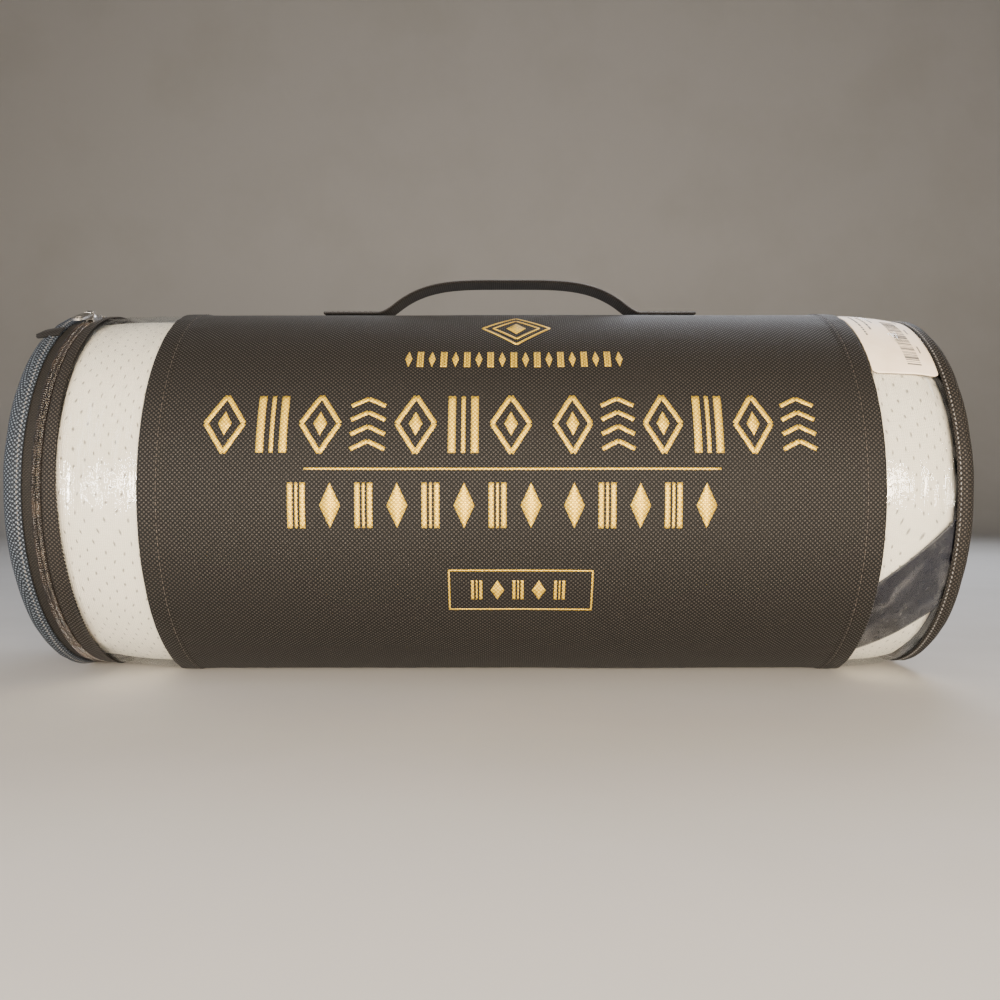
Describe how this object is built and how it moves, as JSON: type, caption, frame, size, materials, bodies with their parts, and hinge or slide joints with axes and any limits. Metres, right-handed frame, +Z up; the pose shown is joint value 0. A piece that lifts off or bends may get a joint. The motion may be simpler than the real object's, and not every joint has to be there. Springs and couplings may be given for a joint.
{
  "type": "rolled bed pillow in a zipped carry bag",
  "caption": "Memory-foam pillow rolled up in a round carry bag with clear windows, a zipped end flap and a carry handle.",
  "frame": {"origin": "on the surface the bag lies on, under the middle of its overall length and width", "axes": "+X along the roll from the zipped end to the plain end, +Z up, front of the bag towards -Y"},
  "size_m": [0.515, 0.22, 0.2365],
  "materials": {
    "nonwoven": "matt black polypropylene non-woven with a small dot emboss",
    "film": "clear soft vinyl film, glossy, slightly wrinkled",
    "zip_tape": "woven black polyester tape",
    "zip_coil": "black nylon coil",
    "zip_metal": "plated die-cast metal, satin",
    "end_fabric": "charcoal non-woven with a small dot emboss",
    "webbing": "ribbed black webbing",
    "label_paper": "off-white coated paper",
    "card": "dark smooth printed card",
    "knit": "off-white jacquard knit with small dashes",
    "liner": "thin white non-woven",
    "foam": "cream memory foam, open cells",
    "pale_coil": "off-white nylon coil",
    "label_cloth": "thin white satin tape",
    "foil": "gold foil pressed onto the non-woven, broken up by its dots",
    "thread": "twisted polyester sewing thread",
    "ink": "grey thermal print"
  },
  "bodies": {
    "root": {"centre_panel": "nonwoven", "left_window": "film", "right_window": "film", "zip_band": "nonwoven", "zip_tape_bag": "zip_tape", "zip_coil_bag": "zip_coil", "zip_top_stop": "zip_metal", "zip_bottom_stop": "zip_metal", "hinge_gusset": "nonwoven", "right_end_panel": "end_fabric", "right_end_binding": "nonwoven", "handle_anchor_left": "webbing", "handle_anchor_right": "webbing", "price_sticker": "label_paper", "insert_card": "card", "pillow_cover": "knit", "pillow_liner": "liner", "foam_core": "foam", "pillow_zip_tape": "knit", "pillow_zip_coil": "pale_coil", "care_label": "label_cloth"},
    "end_flap": {"zip_tape_flap": "zip_tape", "zip_coil_flap": "zip_coil", "left_end_binding": "nonwoven", "left_end_panel": "end_fabric", "zip_end_tab": "nonwoven"},
    "slider": {"zip_slider": "zip_metal"},
    "pull": {"zip_pull": "zip_metal"},
    "handle": {"handle_strap": "webbing"},
    "pillow_slider": {"pillow_zip_slider": "zip_metal", "pillow_zip_pull": "zip_metal"}
  },
  "joints": [
    {"name": "flap_fold", "type": "hinge", "parent": "root", "child": "end_flap", "pos_m": [-0.2352, 0.0368, 0.20861], "axis": [0, 0.9397, -0.342], "range_deg": [0, 90]},
    {"name": "zip_run", "type": "hinge", "parent": "root", "child": "slider", "pos_m": [-0.235, 0, 0.1075], "axis": [1, 0, 0], "range_deg": [0, 283]},
    {"name": "pull_flip", "type": "hinge", "parent": "slider", "child": "pull", "pos_m": [-0.235, -0.03769, 0.21105], "axis": [1, 0, 0], "range_deg": [-165, 0]},
    {"name": "handle_sway", "type": "hinge", "parent": "root", "child": "handle", "pos_m": [0.0118, 0, 0.22155], "axis": [1, 0, 0], "range_deg": [-20, 20]},
    {"name": "pillow_zip_run", "type": "slide", "parent": "root", "child": "pillow_slider", "axis": [1, 0, 0], "range_m": [0, 0.31]}
  ],
  "couplings": [
    {"joint": "zip_run", "follows": "flap_fold", "ratio": 3.1444}
  ]
}
